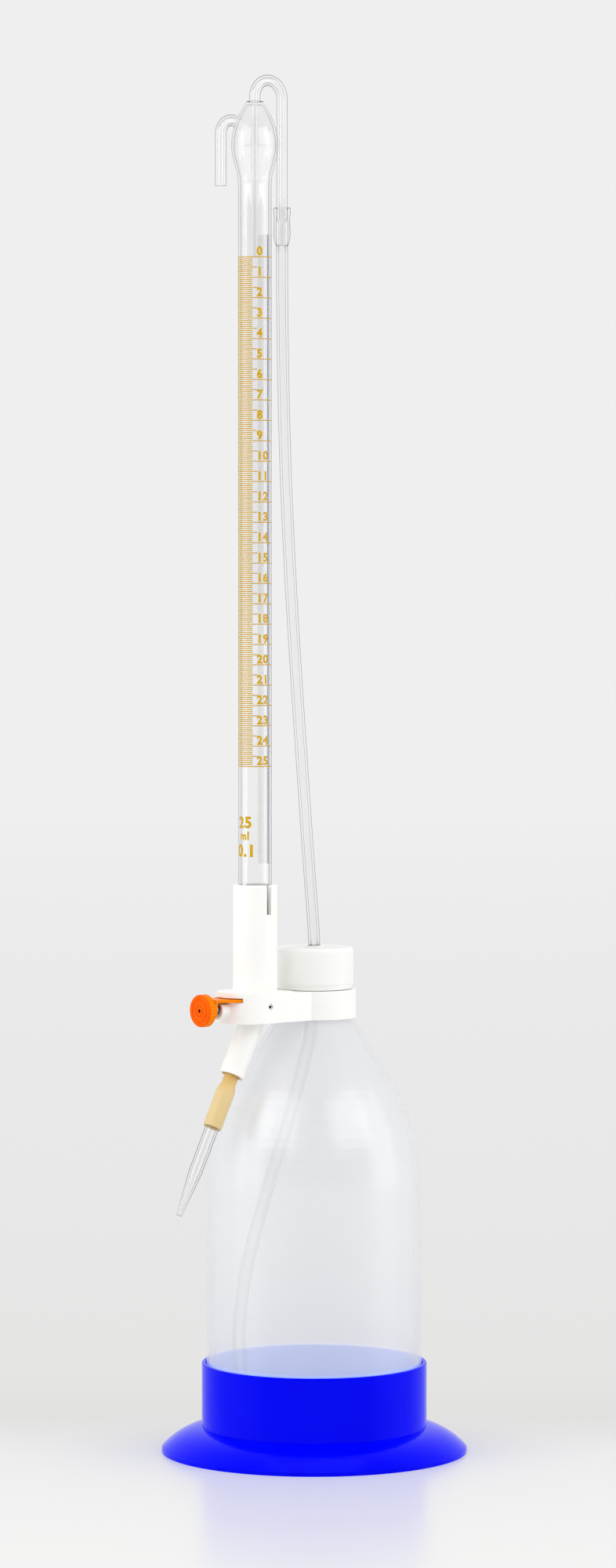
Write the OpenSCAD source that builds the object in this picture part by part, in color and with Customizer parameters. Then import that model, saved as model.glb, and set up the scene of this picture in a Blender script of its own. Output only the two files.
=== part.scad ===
// Automatic burette: a squeeze bottle in a stand fills a graduated glass tube that zeroes itself,
// and a pinch valve with a push slide and a fine screw lets the liquid out.
// Millimetres. The origin is the stand's centre on the bench, +Z is up and the arm points along -X.

/* [Stand] */
// Diameter of the domed brim
base_d = 132; // [116:1:160]
// Height of the brim where it meets the ring
brim_h = 11; // [8:0.5:16]
// Height of the brim's outer edge
brim_edge = 1.6; // [1:0.1:3]
// Wall of the brim
brim_wall = 2.2; // [1.5:0.1:3]
// Width of the brim's foot on the bench
brim_foot = 2.5; // [1.5:0.1:4]
// Half of the angle that the brim's dome turns through
brim_bow = 19; // [8:1:25]
// Height of the ring's top above the bench
ring_top = 38.6; // [25:0.2:50]
// Wall of the ring
ring_wall = 1.8; // [1.4:0.1:3]
// Rounding of the ring's top edge
ring_round = 0.6; // [0.2:0.1:0.7]
// Thickness of the floor that the bottle stands on
seat_t = 4; // [2.5:0.5:6]
// Play between the bottle and the ring
ring_play = 0.4; // [0.3:0.05:1]

/* [Bottle] */
// Diameter of the bottle
bottle_d = 93; // [85:1:100]
// Wall of the bottle
bottle_wall = 1.2; // [0.8:0.1:2]
// Height of the upright wall, heel included
body_h = 111; // [90:1:140]
// Radius of the heel
heel_r = 6; // [4:0.5:10]
// Radius of the shoulder's curve
shoulder_r = 90; // [75:1:100]
// Slope of the shoulder, from upright
shoulder_angle = 32; // [29:1:35]
// Diameter of the ledge under the neck
ledge_d = 34; // [31:0.5:36]
// Thickness of the ledge
ledge_t = 2; // [1.5:0.1:3]
// Outer diameter of the neck
neck_d = 27.2; // [25:0.2:28.6]
// Wall of the neck
neck_wall = 1.6; // [1.2:0.1:2.2]
// Height of the neck above the ledge
neck_h = 25.5; // [22:0.5:30]

/* [Cap] */
// Outer diameter of the cap
cap_d = 33.8; // [32:0.2:38]
// Thickness of the cap's top
cap_t = 4; // [1.6:0.1:4.5]
// Rounding of the cap's top edge
cap_round = 1.8; // [0.5:0.1:3]
// Play between the cap and the neck
cap_play = 0.35; // [0.3:0.05:0.6]
// Gap between the cap's rim and the neck ring
cap_gap = 0.3; // [0.2:0.1:1]
// Height of the cap's narrower foot
cap_foot_h = 2.2; // [1.5:0.1:3]
// Depth of the step over that foot
cap_foot_step = 0.5; // [0.3:0.1:0.8]
// Diameter of the hose collar on the cap
collar_d = 8.1; // [7.4:0.1:10]
// Height of the hose collar
collar_h = 0.5; // [0.4:0.1:4]
// Thickness of the sealing liner
liner_t = 1; // [0.6:0.1:2]

/* [Hose] */
// Outer diameter of the clear hose
hose_d = 5; // [4.4:0.1:5.6]
// Play round the hose in the cap
hose_play = 0.4; // [0.3:0.05:0.6]
// Outer diameter of the cuff on the glass leg
cuff_d = 7.3; // [6.6:0.1:9]
// Length of the cuff
cuff_h = 16; // [14:0.5:24]

/* [Holder] */
// Distance from the bottle's axis to the burette's axis
arm_reach = 33; // [32:0.5:40]
// Width of the arm and of its valve housing
arm_w = 26; // [24:0.5:32]
// Outer diameter of the ring on the neck
neck_ring_d = 36; // [34:0.5:42]
// Height of the neck ring
neck_ring_h = 12.3; // [10:0.1:16]
// Play between the neck ring and the neck
neck_play = 0.3; // [0.2:0.05:0.6]
// Height of the valve housing
housing_h = 13.2; // [12.8:0.1:18]
// Length of the housing from the burette's axis towards the bottle
housing_back = 10.7; // [10:0.1:14]
// Place of the rounded end's centre beyond the burette's axis
end_shift = 4.5; // [3:0.5:8]
// Thickness of the housing's top plate
plate_t = 2.3; // [1.6:0.1:3]
// Thickness of the housing's floor
floor_t = 2; // [1.5:0.1:2.6]
// Play of pressed-in pieces
press_play = 0.03; // [0.02:0.01:0.06]

/* [Sleeve] */
// Outer diameter of the burette sleeve
sleeve_d = 18.9; // [17.4:0.1:22]
// Height of the sleeve
sleeve_h = 45.3; // [32:0.1:60]
// Rounding of the sleeve's top edge
sleeve_round = 1; // [0.3:0.1:1.2]
// Width of the sleeve's two slits
sleeve_slit_w = 2.3; // [1:0.1:4]
// Length of the sleeve's two slits
sleeve_slit_l = 12.5; // [6:0.5:20]
// Thickness of the sleeve's floor
sleeve_floor = 3; // [2:0.1:4]
// Diameter of the sleeve's spigot in the housing
spigot_d = 12; // [11.4:0.1:14]
// Diameter of the hole for the rubber hose
spigot_bore = 9; // [8.6:0.1:10]

/* [Glass] */
// Outer diameter of the burette tube
tube_d = 14.2; // [12.6:0.1:15]
// Wall of the tube and of the bulb
tube_wall = 1.03; // [0.8:0.01:1.4]
// Play between the glass and the sleeve
glass_play = 0.2; // [0.1:0.05:0.5]
// Height of the tube's foot above the housing
foot_h = 21; // [18:0.5:26]
// Height of the cone between the tube and its nipple
foot_cone_h = 5; // [4:0.5:7]
// Diameter of the nipple under the tube
nipple_d = 5.6; // [5:0.1:6]
// Length of the nipple
nipple_l = 10; // [8:0.5:10]
// Bore of the nipple
nipple_bore = 3; // [2.4:0.1:3.4]
// Length of the straight tube
tube_l = 322; // [250:1:400]
// Length of the bulb
bulb_l = 35; // [28:1:45]
// Diameter of the bulb
bulb_d = 20; // [17:0.2:22]
// Place of the bulb's widest ring, as a share of its length
bulb_belly = 0.47; // [0.35:0.01:0.6]
// Diameter of the bulb's crown
crown_d = 7.3; // [6.6:0.1:9]
// Outer diameter of the sealed-in riser
riser_d = 3; // [2.6:0.1:3.6]
// Bore of the riser
riser_bore = 1.2; // [0.8:0.1:1.6]
// Length of the riser under the crown, down to the zero mark
riser_l = 66; // [50:1:90]
// Outer diameter of the bent tube over the bulb
bend_d = 4.7; // [4.2:0.1:5.2]
// Bore of the bent tube
bend_bore = 2.4; // [1.6:0.1:2.8]
// Distance between the bent tube's leg and the burette's axis
leg_shift = 15; // [14:0.1:20]
// Height of the bend's centre above the crown
bend_rise = 2; // [1:0.5:6]
// Length of the leg from the bend's centre to its drawn nozzle
leg_l = 50.2; // [40:0.2:70]
// Length of the drawn cone
draw_l = 3; // [2:0.5:5]
// Diameter of the drawn nozzle
nozzle_d = 2.8; // [2.4:0.1:3.2]
// Length of the drawn nozzle
nozzle_l = 9; // [6:0.5:10]
// Outer diameter of the vent arm
vent_d = 4.8; // [4:0.1:5.4]
// Bore of the vent arm
vent_bore = 2.6; // [1.8:0.1:3]
// Distance between the vent's leg and the burette's axis
vent_shift = 18.6; // [17.6:0.1:22]
// Radius of the vent's bend
vent_bend_r = 5.9; // [5.8:0.1:6.4]
// Depth of the vent bend's centre under the crown
vent_drop = 14.5; // [14:0.1:15]
// Length of the vent's leg
vent_leg_l = 22; // [10:0.1:40]

/* [Valve] */
// Tilt of the spout, from upright
spout_tilt = 26.5; // [20:0.5:30]
// Outer diameter of the spout
spout_d = 10.7; // [10:0.1:12]
// Bore of the spout
spout_bore = 8.3; // [7.8:0.1:9]
// Length of the spout under the housing
spout_l = 25.2; // [16:0.2:40]
// Diameter of the flange under the housing
flange_d = 16; // [14:0.2:18]
// Thickness of the flange
flange_t = 0.8; // [0.5:0.1:2]
// Diameter of the spout's plug in the housing
plug_d = 12; // [11:0.1:12.4]
// Height of the hose's bend above the housing's underside
bend_h = 3.6; // [3:0.1:4.2]
// Outer diameter of the rubber hose
rubber_d = 6.2; // [5.8:0.1:6.8]
// Bore of the rubber hose
rubber_bore = 3; // [2.4:0.1:3.4]
// Outer diameter of the rubber hose where it is stretched over glass
rubber_wide_d = 8.1; // [7.8:0.1:8.4]
// Length of unstretched hose that shows under the spout
rubber_show = 4; // [2:0.5:10]
// Length of the cone where the hose widens
rubber_cone = 2.5; // [2:0.1:5]
// Length of the stretched hose on the tip
rubber_grip = 17.5; // [12:0.5:30]
// Diameter of the glass tip
tip_d = 5.8; // [5:0.1:6.2]
// Bore of the glass tip
tip_bore = 3.8; // [3:0.1:4.2]
// Length of the tip that shows below the hose
tip_show = 40.2; // [25:0.2:60]
// Length of the tip's taper
tip_taper = 20; // [10:0.5:24]
// Diameter of the tip's end
tip_end_d = 2.3; // [2:0.1:3]
// Bore of the tip's end
tip_end_bore = 1; // [0.6:0.1:1.4]
// Length of the rubber hose between its cone and the glass tip's end
tip_back = 2; // [1:0.5:4]
// Play between rubber and glass
rubber_play = 0.1; // [0.05:0.05:0.2]

/* [Pinch] */
// Diameter of the pinch pin
pin_d = 2.5; // [2:0.1:3]
// Distance of the pin beyond the burette's axis
pin_shift = 2.2; // [1.8:0.1:3]
// Height of the pinch above the housing's underside
pinch_h = 7; // [6.6:0.1:7.4]
// Depth of the pin's ends in the arm's walls
pin_recess = 0.3; // [0.1:0.1:1]
// Thickness of the pinched hose
waist_t = 3.2; // [2.8:0.1:3.6]
// Width of the pinched hose
waist_w = 8.2; // [7.4:0.1:8.6]
// Height of the flat part of the pinched hose
waist_h = 2; // [1.6:0.1:2.4]
// Height over the pin at which the hose is round again
waist_rise = 5.5; // [5:0.1:6]
// Length down the spout at which the hose is round again
turn_run = 4; // [3.5:0.1:4.5]
// Gap between the pinched hose and what pinches it
pinch_gap = 0.3; // [0.2:0.05:0.4]
// Travel of the slide
push_travel = 2.5; // [1.5:0.1:3]
// Thickness of the slide's tongue
tongue_t = 1.2; // [0.8:0.1:1.4]
// Width of the slide's tongue
tongue_w = 17.4; // [16:0.1:19]
// Height of the slit that the tongue runs in
slit_h = 1.8; // [1.7:0.1:2.4]
// Play under and beside the tongue
slide_play = 0.2; // [0.1:0.05:0.3]
// Length of the slide's narrowing tongue inside the slit
tongue_taper = 4.5; // [3:0.1:6]
// Room round the hose in the slide's window
window_play = 1; // [0.6:0.1:1.4]
// Room beyond the pin in the slide's window
window_rest = 2; // [1:0.1:2.5]
// Room at the ends and sides of the valve's chamber
chamber_play = 0.5; // [0.4:0.1:0.8]
// Thickness of the crossbar
crossbar_t = 2; // [1.5:0.1:2.5]
// Width of the crossbar
crossbar_w = 11; // [9.6:0.1:12]
// Thickness of the slide's end plate
apron_t = 1.2; // [1:0.1:1.6]
// Width of the slide's end plate
apron_w = 9; // [8:0.1:10]

/* [Fine screw] */
// Height of the screw's axis above the housing's underside
screw_h = 6; // [5.8:0.1:6.6]
// Diameter of the spindle
spindle_d = 3; // [2.5:0.1:3.4]
// Length of the spindle in the housing's wall
spindle_grip = 4; // [2.5:0.1:4.2]
// Running play of the knob on the spindle
spindle_play = 0.05; // [0.03:0.01:0.08]
// Diameter of the knob
knob_d = 13.8; // [12:0.1:18]
// Thickness of the knob
knob_t = 3.7; // [3:0.1:6]
// Thickness of the knob's ribbed band
knob_rib_t = 2.1; // [1:0.1:2.4]
// Number of grooves round the knob
knob_ribs = 30; // [20:1:40]
// Rounding of the knob's front edge
knob_round = 0.7; // [0.2:0.1:0.8]
// Diameter of the inner ring turned in the knob's face
face_ring_in = 4.6; // [3.6:0.1:5.4]
// Diameter of the outer ring turned in the knob's face
face_ring_out = 9.4; // [8:0.1:10.4]
// Width of these rings
face_ring_w = 0.4; // [0.3:0.05:0.6]
// Depth of these rings
face_ring_depth = 0.2; // [0.1:0.05:0.3]
// Diameter of the centre hole in the knob's face
knob_eye_d = 1.4; // [1:0.1:2]
// Thickness of the knob's face over the spindle
knob_face_t = 1; // [0.8:0.1:1.4]
// Gap between the housing's end and the knob
knob_stand_off = 9.4; // [8.6:0.1:14]
// Travel of the knob between the open and the closed screw
screw_play = 1; // [0.9:0.1:1.2]
// Diameter of the thrust washer
washer_d = 7; // [6:0.1:9]
// Thickness of the thrust washer
washer_t = 0.5; // [0.3:0.1:0.8]
// Depth of the spring's pocket in the housing
pocket_depth = 5; // [4:0.1:5.2]
// Length of the guard round the spring, beyond the housing's end
guard_l = 3.6; // [3:0.1:3.8]
// Length of the guard's root inside the housing
guard_root = 2; // [1.5:0.1:3]
// Wall of the guard
guard_wall = 1.1; // [0.8:0.1:1.2]
// Height of the guard's open top over the screw's axis
guard_rise = 2.4; // [2:0.1:2.6]
// Wall between the spring's pocket and the valve's chamber
pocket_wall = 4.5; // [4.4:0.1:5]
// Diameter of the return spring's turns, at the wire's middle
spring_d = 4.8; // [4.6:0.1:5.4]
// Diameter of the spring's wire
spring_wire = 0.6; // [0.4:0.1:0.7]
// Turns of the spring
spring_turns = 6; // [4:1:8]
// Play round the spring, and at its ends
spring_play = 0.3; // [0.2:0.05:0.6]

/* [Hidden] */
$fn = 96;
// A little more than a cut needs, so that no skin is left
over = 1;

// The stand and the bottle
ring_in = bottle_d / 2 + ring_play;
ring_out = ring_in + ring_wall;
shoulder_z = seat_t + body_h;
shoulder_centre = [bottle_d / 2 - shoulder_r, shoulder_z];
cone_z = shoulder_z + shoulder_r * sin(shoulder_angle);
cone_r = bottle_d / 2 - shoulder_r * (1 - cos(shoulder_angle));
ledge_z = cone_z + (cone_r - ledge_d / 2) / tan(shoulder_angle);
neck_z = ledge_z + neck_h;
neck_in = neck_d / 2 - neck_wall;

// The holder, from the ledge up
housing_z = ledge_z + housing_h;
housing_end = arm_reach + end_shift + arm_w / 2;
slit_z = housing_z - plate_t - slit_h;
pinch_z = ledge_z + pinch_h;
screw_z = ledge_z + screw_h;

// The glass
nipple_z = housing_z + foot_h - foot_cone_h - nipple_l;
tube_z = housing_z + foot_h;
bulb_z = tube_z + tube_l;
crown_z = bulb_z + bulb_l;
bend_z = crown_z + bend_rise;
nozzle_z = bend_z - leg_l - draw_l - nozzle_l;
vent_z = crown_z - vent_drop;

// The rubber hose and the spout: the hose bends at the turn above the spout
turn_z = ledge_z + bend_h;
spout_x = -arm_reach - bend_h * tan(spout_tilt);
mouth_run = bend_h / cos(spout_tilt) + spout_l;
tip_start = rubber_show + rubber_cone + tip_back;
tip_l = rubber_show + rubber_cone + rubber_grip + tip_show - tip_start;

// The slide and the screw, as distances from the bottle's axis along the arm
pin_at = arm_reach + pin_shift;
waist_at = pin_at - pin_d / 2 - pinch_gap - waist_t / 2;
crossbar_at = waist_at - waist_t / 2 - pinch_gap;
chamber_end = housing_end - pocket_depth - pocket_wall;
chamber_start = crossbar_at - crossbar_t - push_travel - chamber_play;
knob_at = housing_end + knob_stand_off;
apron_out = knob_at - washer_t - screw_play;
apron_in = apron_out - apron_t;
pocket_d = spring_d + spring_wire + 2 * spring_play;
guard_d = pocket_d + 2 * guard_wall;
tongue_z = slit_z + slide_play;
tongue_top = tongue_z + tongue_t;
tongue_taper_at = housing_end - tongue_taper;
window_end = pin_at + pin_d / 2 + push_travel + window_rest;
window_w = waist_w + window_play;

// Middle line of the clear hose, from the glass leg's nozzle to the collar on the cap
fill_route = [
    [-18, 0, 519], [-18, 0, 510], [-17.9, 0, 495], [-17.7, 0, 480], [-17.4, 0, 465], [-17, 0, 450],
    [-16.5, 0, 435], [-15.9, 0, 420], [-15.1, 0, 405], [-14.2, 0, 390], [-13.2, 0, 375], [-12.1, 0, 360],
    [-10.9, 0, 345], [-9.7, 0, 330], [-8.4, 0, 315], [-7.1, 0, 300], [-5.8, 0, 285], [-4.5, 0, 270],
    [-3.3, 0, 257], [-2.1, 0, 244], [-1.1, 0, 234], [-0.3, 0, 226], [0, 0, 219.2]
];
// The same hose inside, from the collar to the bottle's floor
dip_route = [
    [0, 0, 219], [0, 0, 208], [0, 0, 196], [-1, 0, 186], [-3.4, 0, 176], [-7, 0, 165], [-11.2, 0, 153],
    [-15.8, 0, 141], [-20.4, 0, 130], [-25.2, 0, 118], [-30, 0, 106], [-34.4, 0, 94], [-38, 0, 82],
    [-40.6, 0, 70], [-42, 0, 58], [-42, 0, 46], [-40.4, 0, 35], [-37, 0, 25], [-32, 0, 16], [-27, 0, 10]
];
hose_sides = 10;
spring_rings = 8;
spring_sides = 6;

// Points on an arc
function arc(centre, r, from, to, steps) = [
    for (i = [0:steps])
        let (a = from + (to - from) * i / steps)
            centre + r * [cos(a), sin(a)]
];

// Points on the arc from p to q that bows to the left of the way and turns through twice the half angle
function bow(p, q, half, steps) =
    let (
        way = q - p,
        r = norm(way) / (2 * sin(half)),
        left = [-way[1], way[0]] / norm(way),
        centre = (p + q) / 2 - left * r * cos(half),
        from = atan2(p[1] - centre[1], p[0] - centre[0])
    )
    arc(centre, r, from, from - 2 * half, steps);

function reversed(list) = [for (i = [len(list) - 1:-1:0]) list[i]];

// Radius of the bulb's outside at a share of its length: a swell up to the belly, then a dome to the crown
function bulb_radius(t) = t < bulb_belly
    ? tube_d / 2 + (bulb_d - tube_d) / 4 * (1 - cos(180 * t / bulb_belly))
    : bulb_d / 2 * cos(acos(crown_d / bulb_d) * (t - bulb_belly) / (1 - bulb_belly));

// Points of a circle in the plane of two directions
function circle_of(middle, r, side, up, sides) = [
    for (j = [0:sides - 1])
        let (a = 360 * j / sides)
            middle + r * (cos(a) * side + sin(a) * up)
];

// Rings of a round tube along a route in the XZ plane
function route_rings(route, r, sides) = [
    for (i = [0:len(route) - 1])
        let (
            ahead = route[min(i + 1, len(route) - 1)],
            behind = route[max(i - 1, 0)],
            along = (ahead - behind) / norm(ahead - behind),
            across = cross([0, 1, 0], along)
        )
        circle_of(route[i], r, across, [0, 1, 0], sides)
];

// Rings of a wire that winds about the X axis
function coil_rings(r, wire_r, length, turns, steps, sides) = [
    for (i = [0:turns * steps])
        let (
            a = 360 * i / steps,
            out = [0, cos(a), sin(a)],
            middle = [length * i / (turns * steps), 0, 0] + r * out
        )
        circle_of(middle, wire_r, out, [1, 0, 0], sides)
];

// Closed tube over a list of rings
module tube_over(rings) {
    sides = len(rings[0]);
    last = len(rings) - 1;
    wall = [
        for (i = [0:last - 1])
            for (j = [0:sides - 1])
                for (half = [0, 1])
                    let (a = i * sides + j, b = i * sides + (j + 1) % sides)
                        half == 0 ? [a, b, b + sides] : [a, b + sides, a + sides]
    ];
    caps = [
        for (j = [1:sides - 2])
            for (end = [0, 1])
                end == 0 ? [0, j + 1, j] : [last * sides, last * sides + j, last * sides + j + 1]
    ];
    polyhedron([for (ring = rings) each ring], concat(wall, caps));
}

module at_burette() {
    translate([-arm_reach, 0, 0]) children();
}

// Local +Z runs down the spout from the hose's turn
module along_spout() {
    translate([-arm_reach, 0, turn_z]) rotate([0, 180 + spout_tilt, 0]) children();
}

// Local +Z runs down the tip from the spout's mouth
module along_tip() {
    along_spout() translate([0, 0, mouth_run]) children();
}

// Local +Z runs out along the arm, on the screw's axis, from the bottle's axis
module along_screw(from = 0) {
    translate([-from, 0, screw_z]) rotate([0, -90, 0]) children();
}

// Block between two places along the arm, centred across it
module arm_block(from, to, width, low, high) {
    translate([-to, -width / 2, low]) cube([to - from, width, high - low]);
}

module stand_base() {
    edge = [base_d / 2, brim_edge];
    foot = [base_d / 2 - brim_foot, 0];
    color("#0A12EE") rotate_extrude() polygon(concat(
        [[0, 0], [ring_out, 0]],
        bow([ring_out, brim_h - brim_wall], foot, brim_bow, 12),
        [[base_d / 2, 0]],
        reversed(bow([ring_out, brim_h], edge, brim_bow, 12)),
        arc([ring_out - ring_round, ring_top - ring_round], ring_round, 0, 90, 4),
        arc([ring_in + ring_round, ring_top - ring_round], ring_round, 90, 180, 4),
        [[ring_in, seat_t], [0, seat_t]]
    ));
}

module bottle() {
    heel_centre = [bottle_d / 2 - heel_r, seat_t + heel_r];
    inner_r = shoulder_r - bottle_wall;
    under_z = ledge_z - ledge_t;
    inner_cone = shoulder_centre + inner_r * [cos(shoulder_angle), sin(shoulder_angle)];
    under_r = inner_cone[0] - (under_z - inner_cone[1]) * tan(shoulder_angle);
    color("#ECEEF2") rotate_extrude() polygon(concat(
        [[0, seat_t]],
        arc(heel_centre, heel_r, -90, 0, 6),
        arc(shoulder_centre, shoulder_r, 0, shoulder_angle, 12),
        [[ledge_d / 2, ledge_z], [neck_d / 2, ledge_z], [neck_d / 2, neck_z], [neck_in, neck_z]],
        [[neck_in, under_z], [under_r, under_z]],
        arc(shoulder_centre, inner_r, shoulder_angle, 0, 12),
        arc(heel_centre, heel_r - bottle_wall, 0, -90, 6),
        [[0, seat_t + bottle_wall]]
    ));
}

module screw_cap() {
    low = ledge_z + neck_ring_h + cap_gap;
    inside = neck_z + liner_t;
    high = inside + cap_t;
    wall_in = neck_d / 2 + cap_play;
    hole_r = hose_d / 2 + hose_play;
    color("#F3F3F1") rotate_extrude() polygon(concat(
        [[wall_in, low], [cap_d / 2 - cap_foot_step, low], [cap_d / 2 - cap_foot_step, low + cap_foot_h]],
        [[cap_d / 2, low + cap_foot_h]],
        arc([cap_d / 2 - cap_round, high - cap_round], cap_round, 0, 90, 8),
        [[collar_d / 2, high], [collar_d / 2, high + collar_h], [hole_r, high + collar_h]],
        [[hole_r, inside], [wall_in, inside]]
    ));
}

module cap_liner() {
    color("#E4E4E0") translate([0, 0, neck_z]) difference() {
        cylinder(d = neck_d, h = liner_t);
        translate([0, 0, -over]) cylinder(d = hose_d + 2 * hose_play, h = liner_t + 2 * over);
    }
}

module housing_outline() {
    translate([-arm_reach - end_shift, 0]) circle(d = arm_w);
    translate([-arm_reach - end_shift, -arm_w / 2]) square([end_shift + housing_back, arm_w]);
}

// Trough on the housing's end, open under the tongue, that the spring lies in
module spring_guard() {
    difference() {
        along_screw(housing_end - guard_root) cylinder(d = guard_d, h = guard_root + guard_l);
        arm_block(housing_end - guard_root - over, housing_end + guard_l + over, guard_d + 2 * over,
            screw_z + guard_rise, screw_z + guard_d);
    }
}

module holder_arm() {
    color("#FDFDF8") difference() {
        union() {
            translate([0, 0, ledge_z]) cylinder(d = neck_ring_d, h = neck_ring_h);
            arm_block(0, arm_reach, arm_w, ledge_z, ledge_z + min(neck_ring_h, housing_h));
            translate([0, 0, ledge_z]) linear_extrude(housing_h) housing_outline();
            spring_guard();
        }
        // Bore for the bottle's neck
        translate([0, 0, ledge_z - over]) cylinder(d = neck_d + 2 * neck_play, h = neck_ring_h + 2 * over);
        // Slit for the tongue and chamber for the valve
        arm_block(chamber_start, housing_end + over, tongue_w + 2 * slide_play, slit_z, slit_z + slit_h);
        arm_block(chamber_start, chamber_end, crossbar_w + 4 * chamber_play,
            ledge_z + floor_t, slit_z + over);
        // Spring pocket and spindle hole in the end wall
        along_screw(housing_end - pocket_depth) cylinder(d = pocket_d, h = pocket_depth + guard_l + over);
        arm_block(housing_end - pocket_depth, housing_end + guard_l + over, pocket_d / 2, screw_z, slit_z + over);
        along_screw(housing_end - pocket_depth - spindle_grip)
            cylinder(d = spindle_d + 2 * press_play, h = spindle_grip + over);
        // Cross hole for the pinch pin
        translate([-pin_at, 0, pinch_z]) rotate([90, 0, 0])
            cylinder(d = pin_d + 2 * press_play, h = arm_w + 2 * over, center = true);
        // Seats of the sleeve and of the spout
        at_burette() translate([0, 0, slit_z])
            cylinder(d = spigot_d + 2 * press_play, h = plate_t + slit_h + over);
        translate([spout_x, 0, ledge_z - over]) cylinder(d = plug_d + 2 * press_play, h = floor_t + 2 * over);
    }
}

module burette_sleeve() {
    bore_r = tube_d / 2 + glass_play;
    color("#FDFDF8") at_burette() translate([0, 0, housing_z]) difference() {
        rotate_extrude() polygon(concat(
            [[spigot_bore / 2, -plate_t], [spigot_d / 2, -plate_t], [spigot_d / 2, 0], [sleeve_d / 2, 0]],
            arc([sleeve_d / 2 - sleeve_round, sleeve_h - sleeve_round], sleeve_round, 0, 90, 5),
            [[bore_r, sleeve_h], [bore_r, sleeve_floor], [spigot_bore / 2, sleeve_floor]]
        ));
        translate([-sleeve_slit_w / 2, -sleeve_d, sleeve_h - sleeve_slit_l])
            cube([sleeve_slit_w, 2 * sleeve_d, sleeve_slit_l + over]);
    }
}

// Outside of the tube, the bulb and the foot
module tube_outside() {
    rotate_extrude() polygon(concat(
        [[0, nipple_z], [nipple_d / 2, nipple_z], [nipple_d / 2, nipple_z + nipple_l], [tube_d / 2, tube_z]],
        [for (i = [0:24]) [bulb_radius(i / 24), bulb_z + bulb_l * i / 24]],
        [[0, crown_z]]
    ));
}

// Hollow of the tube and the bulb, under a crown that is one wall thick
module tube_hollow() {
    share = 1 - 1.4 * tube_wall / bulb_l;
    rotate_extrude() polygon(concat(
        [[0, nipple_z - over], [nipple_bore / 2, nipple_z - over], [nipple_bore / 2, nipple_z + nipple_l]],
        [[tube_d / 2 - tube_wall, tube_z + tube_wall / 2]],
        [for (i = [0:24]) [bulb_radius(share * i / 24) - tube_wall, bulb_z + bulb_l * share * i / 24]],
        [[0, bulb_z + bulb_l * share]]
    ));
}

// Bent tube over the bulb: from the crown, round half a turn and down to the drawn nozzle
module bend_path(d, nozzle, end_over) {
    bend_r = leg_shift / 2;
    translate([0, 0, crown_z - end_over]) cylinder(d = d, h = bend_rise + end_over);
    translate([bend_r, 0, bend_z]) rotate([90, 0, 0])
        rotate_extrude(angle = 180) translate([bend_r, 0]) circle(d = d, $fn = 48);
    translate([leg_shift, 0, bend_z - leg_l]) cylinder(d = d, h = leg_l);
    translate([leg_shift, 0, bend_z - leg_l - draw_l]) cylinder(d1 = nozzle, d2 = d, h = draw_l);
    translate([leg_shift, 0, nozzle_z - end_over]) cylinder(d = nozzle, h = nozzle_l + end_over);
}

// Vent arm: out of the bulb's upper side, over an arch and down to its open end
module vent_path(d, end_over) {
    translate([vent_bend_r - vent_shift, 0, vent_z]) {
        rotate([90, 0, 0])
            rotate_extrude(angle = 180) translate([vent_bend_r, 0]) circle(d = d, $fn = 48);
        translate([-vent_bend_r, 0, -vent_leg_l - end_over]) cylinder(d = d, h = vent_leg_l + end_over);
    }
}

module burette_tube() {
    color("#DDE8EC") at_burette() difference() {
        union() {
            difference() {
                union() {
                    tube_outside();
                    vent_path(vent_d, 0);
                }
                tube_hollow();
            }
            bend_path(bend_d, nozzle_d, 0);
            translate([0, 0, crown_z - riser_l]) cylinder(d = riser_d, h = riser_l);
        }
        bend_path(bend_bore, riser_bore, over);
        translate([0, 0, crown_z - riser_l - over]) cylinder(d = riser_bore, h = riser_l + over);
        vent_path(vent_bore, over);
    }
}

module hose_cuff() {
    color("#DCE6EE") at_burette() translate([leg_shift, 0, nozzle_z]) difference() {
        cylinder(d = cuff_d, h = cuff_h);
        translate([0, 0, -over]) cylinder(d = nozzle_d + 2 * rubber_play, h = nozzle_l + over + 0.01);
        translate([0, 0, nozzle_l])
            cylinder(d1 = nozzle_d + 2 * rubber_play, d2 = bend_d + 2 * rubber_play, h = draw_l);
        translate([0, 0, nozzle_l + draw_l - 0.01]) cylinder(d = bend_d + 2 * rubber_play, h = cuff_h);
    }
}

module fill_hose() {
    color("#DCE6EE") tube_over(route_rings(fill_route, hose_d / 2, hose_sides));
}

module dip_hose() {
    color("#DCE6EE") tube_over(route_rings(dip_route, hose_d / 2, hose_sides));
}

module outlet_spout() {
    color("#FDFDF8") difference() {
        union() {
            translate([spout_x, 0, ledge_z - flange_t]) cylinder(d = flange_d, h = flange_t);
            translate([spout_x, 0, ledge_z - flange_t]) cylinder(d = plug_d, h = flange_t + floor_t);
            difference() {
                along_spout() cylinder(d = spout_d, h = mouth_run);
                translate([spout_x, 0, ledge_z - flange_t / 2]) cylinder(d = 4 * spout_d, h = 2 * housing_h);
            }
        }
        along_spout() translate([0, 0, -spout_d]) cylinder(d = spout_bore, h = mouth_run + spout_d + over);
    }
}

// Flattened hose between the pin and the crossbar
module waist(from, high, less = 0) {
    translate([-waist_at, 0, pinch_z + from]) hull()
        for (side = [-1, 1]) translate([0, side * (waist_w - waist_t) / 2, 0])
            cylinder(d = waist_t - less, h = high, $fn = 24);
}

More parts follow.
